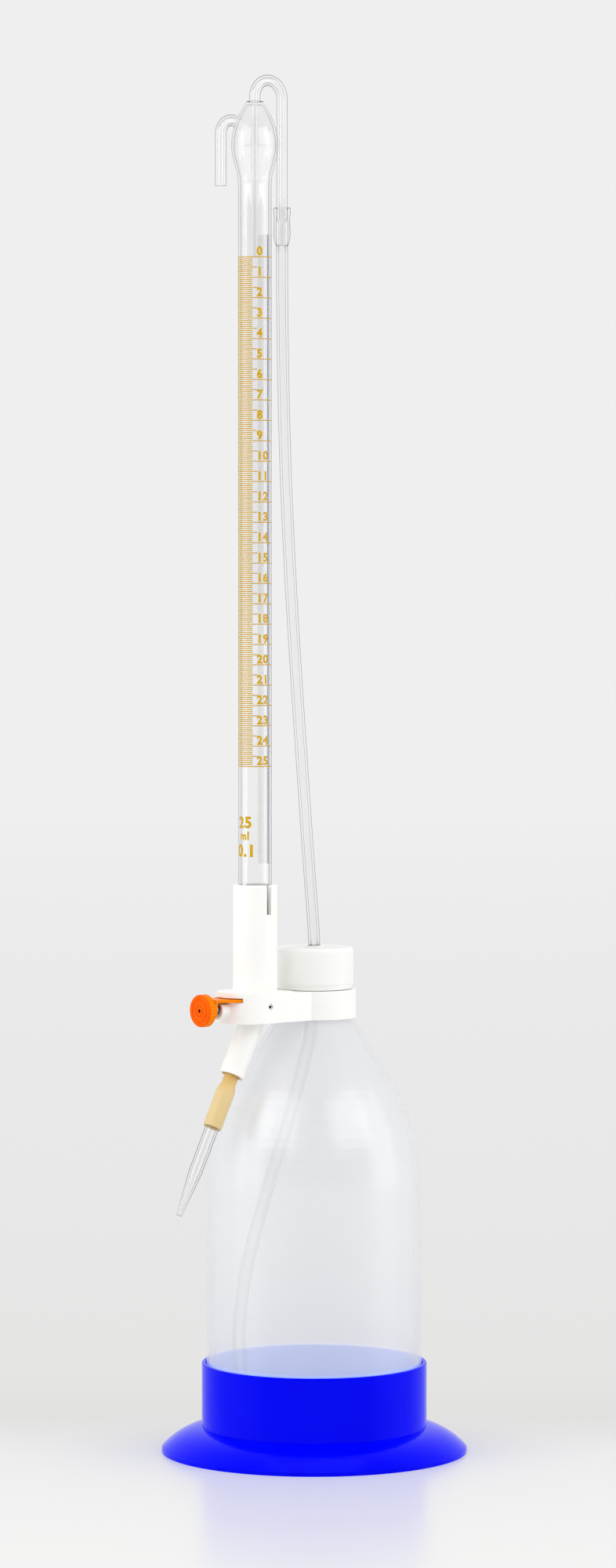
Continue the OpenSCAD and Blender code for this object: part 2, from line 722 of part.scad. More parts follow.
module valve_hose() {
    slice = 0.3;
    fit = 2 * rubber_play;
    grip_end = rubber_show + rubber_cone + rubber_grip;
    color("#E3BE6A") difference() {
        union() {
            // Over the glass nipple, then down to the pinch
            at_burette() translate([0, 0, nipple_z - over]) cylinder(d = rubber_wide_d, h = nipple_l);
            at_burette() translate([0, 0, nipple_z - over - rubber_cone])
                cylinder(d1 = rubber_d, d2 = rubber_wide_d, h = rubber_cone);
            at_burette() translate([0, 0, pinch_z + waist_rise - slice])
                cylinder(d = rubber_d, h = nipple_z - over - rubber_cone - pinch_z - waist_rise + slice);
            waist(-waist_h / 2, waist_h);
            hull() {
                at_burette() translate([0, 0, pinch_z + waist_rise])
                    cylinder(d = rubber_d - slice, h = slice, $fn = 32);
                waist(waist_h / 2 - 2 * slice, slice, slice);
            }
            hull() {
                waist(slice - waist_h / 2, slice, slice);
                along_spout() translate([0, 0, turn_run]) cylinder(d = rubber_d - slice, h = slice, $fn = 32);
            }
            // Down the spout, and out over the glass tip
            along_spout() translate([0, 0, turn_run - slice])
                cylinder(d = rubber_d, h = mouth_run - turn_run + slice + rubber_show);
            along_tip() translate([0, 0, rubber_show])
                cylinder(d1 = rubber_d, d2 = rubber_wide_d, h = rubber_cone);
            along_tip() translate([0, 0, rubber_show + rubber_cone])
                cylinder(d = rubber_wide_d, h = rubber_grip);
        }
        at_burette() translate([0, 0, nipple_z]) cylinder(d = nipple_d + fit, h = nipple_l);
        at_burette() translate([0, 0, pinch_z + waist_rise])
            cylinder(d = rubber_bore, h = nipple_z - pinch_z - waist_rise + over);
        along_spout() translate([0, 0, turn_run + over])
            cylinder(d = rubber_bore, h = mouth_run - turn_run + tip_start);
        along_tip() translate([0, 0, tip_start]) cylinder(d = tip_d + fit, h = grip_end);
    }
}

module outlet_tip() {
    straight = tip_l - tip_taper;
    color("#DDE8EC") along_tip() translate([0, 0, tip_start]) rotate_extrude() polygon([
        [tip_bore / 2, 0], [tip_d / 2, 0], [tip_d / 2, straight], [tip_end_d / 2, tip_l],
        [tip_end_bore / 2, tip_l], [tip_bore / 2, straight]
    ]);
}

module pinch_pin() {
    color("#B9BDC2") translate([-pin_at, 0, pinch_z]) rotate([90, 0, 0])
        cylinder(d = pin_d, h = arm_w - 2 * pin_recess, center = true);
}

module tongue_outline() {
    polygon([
        [-crossbar_at + crossbar_t, -tongue_w / 2], [-crossbar_at + crossbar_t, tongue_w / 2],
        [-tongue_taper_at, tongue_w / 2], [-apron_out, apron_w / 2],
        [-apron_out, -apron_w / 2], [-tongue_taper_at, -tongue_w / 2]
    ]);
}

module pinch_slide() {
    color("#FF6A00") difference() {
        union() {
            translate([0, 0, tongue_z]) linear_extrude(tongue_t) difference() {
                tongue_outline();
                translate([-window_end, -window_w / 2]) square([window_end - crossbar_at, window_w]);
            }
            arm_block(crossbar_at - crossbar_t, crossbar_at, crossbar_w, pinch_z - waist_h, tongue_top);
            arm_block(apron_in, apron_out, apron_w, screw_z, tongue_top);
            along_screw(apron_in) cylinder(d = apron_w, h = apron_t);
        }
        along_screw(apron_in - over) cylinder(d = spindle_d + 2 * spring_play, h = apron_t + 2 * over);
    }
}

module return_spring() {
    start = housing_end - pocket_depth + spring_wire / 2 + spring_play;
    length = apron_in - spring_wire / 2 - spring_play - start;
    color("#AEB4BA") translate([-start, 0, screw_z]) mirror([1, 0, 0])
        tube_over(coil_rings(
            spring_d / 2, spring_wire / 2, length, spring_turns, spring_rings, spring_sides
        ));
    echo("least gap between the spring's turns", length / spring_turns - spring_wire);
}

module screw_spindle() {
    start = housing_end - pocket_depth - spindle_grip;
    end = knob_at + knob_t - knob_face_t - screw_play;
    color("#B9BDC2") along_screw(start) cylinder(d = spindle_d, h = end - start);
}

module thrust_washer() {
    color("#B9BDC2") along_screw(knob_at - washer_t) difference() {
        cylinder(d = washer_d, h = washer_t);
        translate([0, 0, -over]) cylinder(d = spindle_d + 2 * spring_play, h = washer_t + 2 * over);
    }
}

module knob_outline() {
    groove_d = 0.5 * PI * knob_d / knob_ribs;
    difference() {
        circle(d = knob_d);
        for (i = [0:knob_ribs - 1])
            rotate(360 * i / knob_ribs) translate([knob_d / 2, 0]) circle(d = groove_d, $fn = 16);
    }
}

module face_ring(d) {
    translate([0, 0, knob_t - face_ring_depth]) difference() {
        cylinder(d = d + face_ring_w, h = face_ring_depth + over);
        translate([0, 0, -over]) cylinder(d = d - face_ring_w, h = face_ring_depth + 3 * over);
    }
}

module fine_screw_knob() {
    color("#FF6A00") along_screw(knob_at) difference() {
        union() {
            linear_extrude(knob_rib_t) knob_outline();
            rotate_extrude() polygon(concat(
                [[0, knob_rib_t], [knob_d / 2, knob_rib_t]],
                arc([knob_d / 2 - knob_round, knob_t - knob_round], knob_round, 0, 90, 4),
                [[0, knob_t]]
            ));
        }
        translate([0, 0, -over]) cylinder(d = spindle_d + 2 * spindle_play, h = knob_t - knob_face_t + over);
        cylinder(d = knob_eye_d, h = knob_t + over);
        for (d = [face_ring_in, face_ring_out]) face_ring(d);
    }
}

stand_base();
bottle();
screw_cap();
cap_liner();
holder_arm();
burette_sleeve();
burette_tube();
hose_cuff();
fill_hose();
dip_hose();
outlet_spout();
valve_hose();
outlet_tip();
pinch_pin();
pinch_slide();
return_spring();
screw_spindle();
thrust_washer();
fine_screw_knob();
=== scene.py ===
"""Automatic burette on its squeeze bottle: finishes, printing, hoses, light and camera."""
import math

import bmesh
import bpy
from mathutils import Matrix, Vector


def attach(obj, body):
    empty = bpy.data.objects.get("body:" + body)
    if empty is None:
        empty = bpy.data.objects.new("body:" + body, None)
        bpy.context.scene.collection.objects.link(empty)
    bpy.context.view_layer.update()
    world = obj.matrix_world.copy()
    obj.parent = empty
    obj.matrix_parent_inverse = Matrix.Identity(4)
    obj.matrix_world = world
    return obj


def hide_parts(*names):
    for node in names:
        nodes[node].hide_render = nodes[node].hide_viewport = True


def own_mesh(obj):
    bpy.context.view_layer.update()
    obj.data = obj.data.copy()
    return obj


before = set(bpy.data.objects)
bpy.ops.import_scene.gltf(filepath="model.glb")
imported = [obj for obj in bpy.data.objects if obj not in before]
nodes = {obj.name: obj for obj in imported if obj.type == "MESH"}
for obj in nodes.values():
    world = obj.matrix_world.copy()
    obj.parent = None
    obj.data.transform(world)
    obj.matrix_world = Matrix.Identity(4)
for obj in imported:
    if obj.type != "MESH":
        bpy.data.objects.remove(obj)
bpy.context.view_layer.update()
scene = bpy.context.scene
scene.view_settings.view_transform = "Standard"

# Camera: on the arm's side, a little above the middle, looking slightly down through a long lens
UP = Vector((0, 0, 1))
VIEW = math.radians(-40)
DISTANCE, ASIDE, HEIGHT = 2.16, -0.0027, 0.375
DIP = math.radians(2.29)
back = Vector((math.sin(VIEW), -math.cos(VIEW), 0))
right = Vector((math.cos(VIEW), math.sin(VIEW), 0))
lens = bpy.data.cameras.new("camera")
lens.lens = 115.2
lens.sensor_width = 36
camera = bpy.data.objects.new("camera", lens)
scene.collection.objects.link(camera)
camera.location = back * DISTANCE + right * ASIDE + UP * HEIGHT
aim = -back * math.cos(DIP) - UP * math.sin(DIP)
camera.rotation_euler = aim.to_track_quat("-Z", "Y").to_euler()
scene.camera = camera

# Places and sizes that several sections need, in metres: axes of the tube, of its leg and of the fine screw,
# the tube's outside, and the top of the ring that the bottle stands in
MM = 0.001
TUBE_X = -33 * MM
LEG_X = -18 * MM
SCREW_Z = 194.017 * MM
TUBE_R = 7.1 * MM
RING_TOP = 38.5 * MM

# The spout: its slant, the way it runs, where it turns off the tube's axis, and how far on its mouth is
SPOUT_TILT = math.radians(26.5)
SPOUT_RUN = Vector((-math.sin(SPOUT_TILT), 0, -math.cos(SPOUT_TILT)))
SPOUT_TURN = Vector((TUBE_X, 0, 191.617 * MM))
SPOUT_MOUTH = 29.223 * MM

# How many see-through faces the camera looks through before a pale tone stands in for all that follow
BOTTLE_FACES = 5.5
CLEAR_FACES = 6.5


# Small helpers
def lin(code):
    """Linear colour of an sRGB hex value."""
    parts = [int(code[i:i + 2], 16) / 255 for i in (1, 3, 5)]
    return tuple(c / 12.92 if c <= 0.04045 else ((c + 0.055) / 1.055) ** 2.4 for c in parts) + (1.0,)


def feed(tree, node, inputs):
    """Set inputs of a node: to a value, or by a link from a socket or from the first output of a node."""
    for key, value in inputs.items():
        if isinstance(value, bpy.types.Node):
            value = value.outputs[0]
        if isinstance(value, bpy.types.NodeSocket):
            tree.links.new(value, node.inputs[key])
        else:
            node.inputs[key].default_value = value


def add(tree, kind, inputs=None, stops=(), **settings):
    """Add one node with its settings and links; stops are places and hex colours, the two ends first."""
    made = tree.nodes.new(kind)
    for key, value in settings.items():
        setattr(made, key, value)
    feed(tree, made, inputs or {})
    for n, (place, code) in enumerate(stops):
        steps = made.color_ramp.elements
        step = steps[n] if n < 2 else steps.new(place)
        step.position = place
        step.color = lin(code)
    return made


def finish(name):
    """A new material with its surface node and Object coordinates."""
    made = bpy.data.materials.new(name)
    made.use_nodes = True
    tree = made.node_tree
    return made, tree, tree.nodes["Principled BSDF"], add(tree, "ShaderNodeTexCoord").outputs["Object"]


def piece(name, shape, material, body, smooth=True):
    """An object at the origin from a bmesh or a mesh, riding on a body."""
    mesh = shape
    if isinstance(shape, bmesh.types.BMesh):
        mesh = bpy.data.meshes.new(name)
        shape.to_mesh(mesh)
        shape.free()
    mesh.name = name
    for face in mesh.polygons:
        face.use_smooth = smooth
    made = bpy.data.objects.new(name, mesh)
    scene.collection.objects.link(made)
    mesh.materials.clear()
    mesh.materials.append(material)
    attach(made, body)
    return made


def mesh_of(curve):
    """The mesh of a curve or text, which is then dropped."""
    holder = bpy.data.objects.new("holder", curve)
    scene.collection.objects.link(holder)
    bpy.context.view_layer.update()
    evaluated = holder.evaluated_get(bpy.context.evaluated_depsgraph_get())
    mesh = bpy.data.meshes.new_from_object(evaluated)
    bpy.data.objects.remove(holder)
    return mesh


def tube_mesh(stations, sides=7, smooth_path=True):
    """A tube's outside along stations, each a point and a radius in metres."""
    curve = bpy.data.curves.new("route", "CURVE")
    curve.dimensions = "3D"
    curve.bevel_depth = 1
    curve.bevel_resolution = sides
    line = curve.splines.new("NURBS" if smooth_path else "POLY")
    line.points.add(len(stations) - 1)
    for spot, (point, radius) in zip(line.points, stations):
        spot.co = (*point, 1)
        spot.radius = radius
    if smooth_path:
        line.order_u = 4
        line.use_endpoint_u = True
        line.resolution_u = 5
    return mesh_of(curve)


def walled(made, thickness, offset=-1, even=True):
    """Give an open tube or strip its wall."""
    wall = made.modifiers.new("wall", "SOLIDIFY")
    wall.thickness = thickness
    wall.offset = offset
    wall.use_even_offset = even


def turned(outline, centre, axis, degrees, steps):
    """A closed outline turned about an axis; a full turn is merged, a part turn gets its end faces."""
    bm = bmesh.new()
    ring = [bm.verts.new(point) for point in outline]
    sides = [bm.edges.new(ends) for ends in zip(ring, ring[1:] + ring[:1])]
    full = degrees == 360
    bmesh.ops.spin(bm, geom=ring + sides, cent=centre, axis=axis, angle=math.radians(degrees), steps=steps,
                   use_merge=full)
    if not full:
        bmesh.ops.holes_fill(bm, edges=bm.edges)
    bmesh.ops.recalc_face_normals(bm, faces=bm.faces)
    return bm


# Parts that several finishes share
def outer_gloss(tree, bump, most, index):
    """Share of mirror gloss by angle, only on faces turned to the eye."""
    angle = add(tree, "ShaderNodeFresnel", {"IOR": index, "Normal": bump})
    held = add(tree, "ShaderNodeMath", {0: angle, 1: most}, operation="MINIMUM")
    behind = add(tree, "ShaderNodeNewGeometry").outputs["Backfacing"]
    front = add(tree, "ShaderNodeMath", {0: 1.0, 1: behind}, operation="SUBTRACT")
    return add(tree, "ShaderNodeMath", {0: held, 1: front}, operation="MULTIPLY")


def open_air(tree, path, clear, beyond, faces):
    """What shows through a wall, and for the camera a pale glow instead once it looks through too many."""
    deep = add(tree, "ShaderNodeMath", {0: path.outputs["Transparent Depth"], 1: faces},
               operation="GREATER_THAN")
    deep = add(tree, "ShaderNodeMath", {0: deep, 1: path.outputs["Is Camera Ray"]}, operation="MULTIPLY")
    return add(tree, "ShaderNodeMixShader", {0: deep, 1: clear, 2: beyond})


def eye_rays(tree, path):
    """One for what the camera sees, straight, in a mirror or through glass; nought for light that falls."""
    seen = add(tree, "ShaderNodeMath", {0: path.outputs["Is Camera Ray"], 1: path.outputs["Is Glossy Ray"]},
               operation="ADD")
    return add(tree, "ShaderNodeMath", {0: seen, 1: path.outputs["Is Transmission Ray"]}, operation="ADD",
               use_clamp=True)


def clear_wall(made, bump, tones, gloss, shine, weight):
    """Thin clear wall with a mirror gloss: light goes straight through, less of it towards the edge, where more
    is turned back. The tones are those of its face, side and edge. The weight is how thick the wall is for
    its radius: more gives a wider, darker edge."""
    made.cycles.emission_sampling = "NONE"
    tree = made.node_tree
    face, side, edge = tones
    wall_index = 1.5
    inside = add(tree, "ShaderNodeNewGeometry").outputs["Backfacing"]
    index = add(tree, "ShaderNodeMapRange", {"Value": inside, "To Min": wall_index, "To Max": 1 / wall_index})
    angle = add(tree, "ShaderNodeFresnel", {"IOR": index, "Normal": bump})
    lost = add(tree, "ShaderNodeMath", {0: angle, 1: weight}, operation="MULTIPLY", use_clamp=True)
    tone = add(tree, "ShaderNodeValToRGB", {"Fac": lost}, stops=((0.152, face), (0.84, edge), (0.367, side)))
    clear = add(tree, "ShaderNodeBsdfTransparent", {"Color": tone})
    beyond = add(tree, "ShaderNodeEmission", {"Color": tone, "Strength": 0.82})
    air = open_air(tree, add(tree, "ShaderNodeLightPath"), clear, beyond, CLEAR_FACES)
    mirror = add(tree, "ShaderNodeBsdfGlossy", {"Roughness": gloss, "Normal": bump})
    mix = add(tree, "ShaderNodeMixShader", {0: outer_gloss(tree, bump, 0.5, shine), 1: air, 2: mirror})
    feed(tree, tree.nodes["Material Output"], {"Surface": mix})


def glass_weight(tree, place):
    """How heavy the glass is for its radius: light in the blown bulb and the riser, heavy in the narrow arms.
    Each pair of lengths is where one form of the head begins to pass into the next, and where it has."""
    riser_to_bore = 2.9 * MM, 3.4 * MM
    bulb_to_arms = 10.3 * MM, 11.2 * MM
    tube_to_bulb = 541 * MM, 549 * MM
    crown_to_bend = 578.9 * MM, 579.5 * MM
    axis = add(tree, "ShaderNodeMapping", {"Vector": place, "Location": (-TUBE_X, 0, 0), "Scale": (1, 1, 0)})
    radius = add(tree, "ShaderNodeVectorMath", {0: axis}, operation="LENGTH").outputs["Value"]
    height = add(tree, "ShaderNodeSeparateXYZ", {"Vector": place}).outputs["Z"]
    arms = add(tree, "ShaderNodeMapRange", {"Value": radius, "From Min": bulb_to_arms[0],
                                            "From Max": bulb_to_arms[1]})
    bend = add(tree, "ShaderNodeMapRange", {"Value": height, "From Min": crown_to_bend[0],
                                            "From Max": crown_to_bend[1]})
    narrow = add(tree, "ShaderNodeMath", {0: arms, 1: bend}, operation="MAXIMUM")
    blown = add(tree, "ShaderNodeMapRange", {"Value": height, "From Min": tube_to_bulb[0],
                                             "From Max": tube_to_bulb[1], "To Min": 1.0, "To Max": 0.78})
    wide = add(tree, "ShaderNodeMapRange", {"Value": radius, "From Min": riser_to_bore[0],
                                            "From Max": riser_to_bore[1], "To Min": 0.7, "To Max": blown})
    return add(tree, "ShaderNodeMapRange", {"Value": narrow, "To Min": wide, "To Max": 2.0})


# White plastics let light in this far before it comes out again
LIGHT_DEPTH = {"Subsurface Scale": 2 * MM, "Subsurface Radius": (1, 1, 1)}


# Polypropylene, injection moulded: strong blue, smooth, with weak highlights and a soft grain, which is drawn
# coarser than it is so that it shows
def moulded_polypropylene_blue():
    made, tree, surface, place = finish("moulded_polypropylene_blue")
    flow = add(tree, "ShaderNodeTexNoise", {"Vector": place, "Scale": 1 / (28 * MM), "Detail": 2})
    tint = add(tree, "ShaderNodeValToRGB", {"Fac": flow}, stops=((0, "#0000EE"), (1, "#0008FF")))
    grain = add(tree, "ShaderNodeTexNoise", {"Vector": place, "Scale": 1 / (0.9 * MM), "Detail": 3})
    gloss = add(tree, "ShaderNodeMapRange", {"Value": flow, "To Min": 0.08, "To Max": 0.13})
    bump = add(tree, "ShaderNodeBump", {"Height": grain, "Strength": 0.08, "Distance": 0.1 * MM})
    feed(tree, surface, {"Base Color": tint, "Roughness": gloss, "Normal": bump, "Specular IOR Level": 0.05})
    return made


# Low density polyethylene, blow moulded: milky, with a painted faint glow, waxy highlights, faint upright die
# lines, a painted blue glow where it stands in the ring
def blown_polyethylene_milky():
    made, tree, surface, place = finish("blown_polyethylene_milky")
    made.cycles.emission_sampling = "NONE"
    milk = "#F2F4F6"
    stretch = add(tree, "ShaderNodeMapping", {"Vector": place, "Scale": (1, 1, 0.03)})
    lines = add(tree, "ShaderNodeTexNoise", {"Vector": stretch, "Scale": 1 / (7 * MM), "Detail": 3})
    bump = add(tree, "ShaderNodeBump", {"Height": lines, "Strength": 0.03, "Distance": 0.2 * MM})

    # The painted blue glow stands in for light from the ring round the bottle's foot; the ring stays when the
    # bottle lifts, so the glow goes by the height above the floor
    spot = add(tree, "ShaderNodeNewGeometry").outputs["Position"]
    height = add(tree, "ShaderNodeSeparateXYZ", {"Vector": spot}).outputs["Z"]
    ringed = add(tree, "ShaderNodeMapRange", {"Value": height, "From Min": RING_TOP + 1.5 * MM,
                                              "From Max": RING_TOP})
    painted_glow_tint = add(tree, "ShaderNodeValToRGB", {"Fac": ringed}, stops=((0, milk), (1, "#4A9AFF")))

    # The camera alone sees a painted glow, milk white above the ring and blue within it; the wall lets other
    # light through
    path = add(tree, "ShaderNodeLightPath")
    glow = add(tree, "ShaderNodeMapRange", {"Value": ringed, "To Min": 0.22, "To Max": 1.2})
    glow = add(tree, "ShaderNodeMath", {0: glow, 1: path.outputs["Is Camera Ray"]}, operation="MULTIPLY")
    feed(tree, surface, {"Base Color": lin(milk), "Roughness": 0.6, "Specular IOR Level": 0,
                         "Emission Color": painted_glow_tint, "Emission Strength": glow})
    through = add(tree, "ShaderNodeBsdfTranslucent", {"Color": lin(milk)})
    body = add(tree, "ShaderNodeMixShader", {0: 0.35, 1: surface, 2: through})
    clear = add(tree, "ShaderNodeBsdfTransparent")
    # Once the camera looks through more than five faces it sees a painted pale tone instead, painted blue
    # within the ring
    pale = add(tree, "ShaderNodeValToRGB", {"Fac": ringed}, stops=((0, "#E8E8E8"), (1, "#7C90F0")))
    beyond = add(tree, "ShaderNodeEmission", {"Color": pale})
    air = open_air(tree, path, clear, beyond, BOTTLE_FACES)
    falling = add(tree, "ShaderNodeMath", {0: path.outputs["Is Shadow Ray"], 1: path.outputs["Is Diffuse Ray"]},
                  operation="MAXIMUM")
    held = add(tree, "ShaderNodeMapRange", {"Value": falling, "To Min": 0.32, "To Max": 0.05})
    wall = add(tree, "ShaderNodeMixShader", {0: held, 1: air, 2: body})

    gloss = add(tree, "ShaderNodeMapRange", {"Value": lines, "To Min": 0.19, "To Max": 0.26})
    sheen = add(tree, "ShaderNodeBsdfGlossy", {"Roughness": gloss, "Normal": bump})
    mix = add(tree, "ShaderNodeMixShader", {0: outer_gloss(tree, bump, 0.3, 1.75), 1: wall, 2: sheen})
    feed(tree, tree.nodes["Material Output"], {"Surface": mix})
    return made


# Polyethylene, injection moulded: milky white cap, satin, a little light goes into it; its grain is drawn
# coarser than it is so that it shows
def moulded_polyethylene_cap():
    made, tree, surface, place = finish("moulded_polyethylene_cap")
    cloud = add(tree, "ShaderNodeTexNoise", {"Vector": place, "Scale": 1 / (9 * MM), "Detail": 3})
    tint = add(tree, "ShaderNodeValToRGB", {"Fac": cloud}, stops=((0, "#F6F6F3"), (1, "#FCFCFA")))
    grain = add(tree, "ShaderNodeTexNoise", {"Vector": place, "Scale": 1 / (0.6 * MM), "Detail": 2})
    bump = add(tree, "ShaderNodeBump", {"Height": grain, "Strength": 0.1, "Distance": 0.1 * MM})
    feed(tree, surface, {"Base Color": tint, "Normal": bump, "Roughness": 0.38, "Subsurface Weight": 0.3,
                         **LIGHT_DEPTH})
    return made


# Foamed polyethylene disc: matt with fine cells
def foamed_polyethylene_liner():
    made, tree, surface, place = finish("foamed_polyethylene_liner")
    cells = add(tree, "ShaderNodeTexVoronoi", {"Vector": place, "Scale": 1 / (0.5 * MM)})
    tint = add(tree, "ShaderNodeValToRGB", {"Fac": cells}, stops=((0, "#D6D6D0"), (1, "#EDEDE8")))
    bump = add(tree, "ShaderNodeBump", {"Height": cells, "Strength": 0.3, "Distance": 0.2 * MM})
    feed(tree, surface, {"Base Color": tint, "Normal": bump, "Roughness": 0.8})
    return made


# ABS, injection moulded: warm white, satin, spark-eroded grain, which is drawn coarser than it is so that
# it shows
def moulded_abs_white():
    made, tree, surface, place = finish("moulded_abs_white")
    cloud = add(tree, "ShaderNodeTexNoise", {"Vector": place, "Scale": 1 / (14 * MM), "Detail": 2})
    tint = add(tree, "ShaderNodeValToRGB", {"Fac": cloud}, stops=((0, "#FEFDF8"), (1, "#FFFFFC")))
    grain = add(tree, "ShaderNodeTexNoise", {"Vector": place, "Scale": 1 / (0.5 * MM), "Detail": 3})
    gloss = add(tree, "ShaderNodeMapRange", {"Value": grain, "To Min": 0.34, "To Max": 0.48})
    bump = add(tree, "ShaderNodeBump", {"Height": grain, "Strength": 0.08, "Distance": 0.1 * MM})
    feed(tree, surface, {"Base Color": tint, "Roughness": gloss, "Normal": bump, "Subsurface Weight": 0.25,
                         **LIGHT_DEPTH})
    return made


# Borosilicate glass, drawn and lamp blown: clear, thin grey edges, slow waves along the wall
def drawn_borosilicate_glass(name, slant, side, drawn_out):
    made, tree, _, place = finish(name)
    stretch = add(tree, "ShaderNodeMapping", {"Vector": place, "Rotation": (0, slant, 0),
                                              "Scale": (1, 1, 1 / 0.12)}, vector_type="TEXTURE")
    waves = add(tree, "ShaderNodeTexNoise", {"Vector": stretch, "Scale": 1 / (9 * MM), "Detail": 1})
    bump = add(tree, "ShaderNodeBump", {"Height": waves, "Strength": 0.03, "Distance": 0.2 * MM})
    weight = 1.9 if drawn_out else glass_weight(tree, place)
    clear_wall(made, bump, ("#FFFFFF", side, "#343A38"), 0.02, 1.7, weight)
    return made


# Plasticised vinyl hose, extruded: clear with a blue-grey cast, faint lengthwise lines
def extruded_vinyl_clear():
    made, tree, _, place = finish("extruded_vinyl_clear")
    stretch = add(tree, "ShaderNodeMapping", {"Vector": place, "Scale": (1, 1, 0.02)})
    lines = add(tree, "ShaderNodeTexNoise", {"Vector": stretch, "Scale": 1 / (1.2 * MM), "Detail": 2})
    bump = add(tree, "ShaderNodeBump", {"Height": lines, "Strength": 0.02, "Distance": 0.1 * MM})
    clear_wall(made, bump, ("#FEFEFE", "#BCC1C4", "#262C30"), 0.06, 1.4, 1.5)
    return made


# Natural latex, dipped: amber, waxy, light glows through its wall, a deeper amber near the spout's mouth and
# paler farther down over the tip, small flow ripples
def dipped_latex_amber():
    made, tree, surface, place = finish("dipped_latex_amber")
    flow = add(tree, "ShaderNodeTexNoise", {"Vector": place, "Scale": 1 / (6 * MM), "Detail": 3})
    # Deeper amber at the spout's mouth, paler farther down the spout
    along = add(tree, "ShaderNodeVectorMath", {0: place, 1: tuple(SPOUT_RUN)}, operation="DOT_PRODUCT")
    mouth = SPOUT_TURN.dot(SPOUT_RUN) + SPOUT_MOUTH
    down_spout = add(tree, "ShaderNodeMapRange", {"Value": along.outputs["Value"], "From Min": mouth - 1 * MM,
                                             "From Max": mouth + 9 * MM, "To Max": 0.75})
    pale = add(tree, "ShaderNodeMath", {0: flow, 1: 0.25, 2: down_spout}, operation="MULTIPLY_ADD")
    tint = add(tree, "ShaderNodeValToRGB", {"Fac": pale}, stops=((0, "#F4C458"), (1, "#FFEBB4")))
    ripple = add(tree, "ShaderNodeTexNoise", {"Vector": place, "Scale": 1 / (2.2 * MM), "Detail": 2})
    bump = add(tree, "ShaderNodeBump", {"Height": ripple, "Strength": 0.15, "Distance": 0.3 * MM})
    feed(tree, surface, {"Base Color": tint, "Normal": bump, "Roughness": 0.4})
    through = add(tree, "ShaderNodeBsdfTranslucent", {"Color": tint})
    body = add(tree, "ShaderNodeMixShader", {0: 0.2, 1: surface, 2: through})
    clear = add(tree, "ShaderNodeBsdfTransparent", {"Color": lin("#FFFAEC")})
    mix = add(tree, "ShaderNodeMixShader", {0: 0.84, 1: clear, 2: body})
    feed(tree, tree.nodes["Material Output"], {"Surface": mix})
    return made


# Stainless steel, bright drawn: grey metal, its gloss broken by drawing marks, which are drawn coarser than
# they are so that they show
def drawn_steel_bright():
    made, tree, surface, place = finish("drawn_steel_bright")
    scratch = add(tree, "ShaderNodeTexNoise", {"Vector": place, "Scale": 1 / (0.3 * MM), "Detail": 3})
    gloss = add(tree, "ShaderNodeMapRange", {"Value": scratch, "To Min": 0.3, "To Max": 0.45})
    bump = add(tree, "ShaderNodeBump", {"Height": scratch, "Strength": 0.05, "Distance": 0.1 * MM})
    feed(tree, surface, {"Base Color": lin("#D4D6D8"), "Metallic": 1, "Roughness": gloss, "Normal": bump})
    return made


# Acetal, moulded and faced on a lathe: orange, satin gloss, faint rings round the screw's axis, painted lighter
# from the ribs back as painted light on the rim and tongue, painted shade dark in the centre hole
def moulded_acetal_orange():
    made, tree, surface, place = finish("moulded_acetal_orange")
    ring_pitch = 0.888 * MM
    ribs_front, ribs_deep = -63.1 * MM, -62.3 * MM
    hole_r, hole_inner_r = 0.85 * MM, 0.7 * MM

    # The wave texture goes through twenty radians for each unit of its scale
    centre = add(tree, "ShaderNodeMapping", {"Vector": place, "Location": (0, 0, -SCREW_Z)})
    rings = add(tree, "ShaderNodeTexWave", {"Vector": centre, "Scale": math.tau / (20 * ring_pitch)},
                wave_type="RINGS", rings_direction="X")
    bump = add(tree, "ShaderNodeBump", {"Height": rings.outputs["Fac"], "Strength": 0.06,
                                        "Distance": 0.1 * MM})
    cloud = add(tree, "ShaderNodeTexNoise", {"Vector": place, "Scale": 1 / (5 * MM), "Detail": 2})
    tint = add(tree, "ShaderNodeValToRGB", {"Fac": cloud}, stops=((0, "#FB5A00"), (1, "#FF7000")))
    # Painted light: a lighter orange on the rim, ribs and tongue, from the face's ribs back
    inward = add(tree, "ShaderNodeSeparateXYZ", {"Vector": place}).outputs["X"]
    painted_rim_light = add(tree, "ShaderNodeMapRange", {"Value": inward, "From Min": ribs_front, "From Max": ribs_deep})
    lit = add(tree, "ShaderNodeMix", {0: painted_rim_light, 6: tint, 7: lin("#FF8A08")}, data_type="RGBA")
    # Painted shade: dark red in the centre hole
    flat = add(tree, "ShaderNodeMapping", {"Vector": centre, "Scale": (0, 1, 1)})
    radius = add(tree, "ShaderNodeVectorMath", {0: flat}, operation="LENGTH").outputs["Value"]
    painted_hole_shade = add(tree, "ShaderNodeMapRange", {"Value": radius, "From Min": hole_r, "From Max": hole_inner_r})
    hole_shaded_tint = add(tree, "ShaderNodeMix", {0: painted_hole_shade, 6: lit.outputs[2], 7: lin("#8A1800")}, data_type="RGBA")
    feed(tree, surface, {"Base Color": hole_shaded_tint.outputs[2], "Normal": bump, "Roughness": 0.32,
                         "Specular IOR Level": 0.04})
    return made


# Ceramic ink, screen printed and fired: brown gold, satin, uneven in density
def fired_ceramic_ink_gold():
    made, tree, surface, place = finish("fired_ceramic_ink_gold")
    dense = add(tree, "ShaderNodeTexNoise", {"Vector": place, "Scale": 1 / (0.8 * MM), "Detail": 2})
    tint = add(tree, "ShaderNodeValToRGB", {"Fac": dense}, stops=((0, "#BA8C00"), (1, "#E8BC00")))
    feed(tree, surface, {"Base Color": tint, "Roughness": 0.5, "Specular IOR Level": 0.1})
    return made


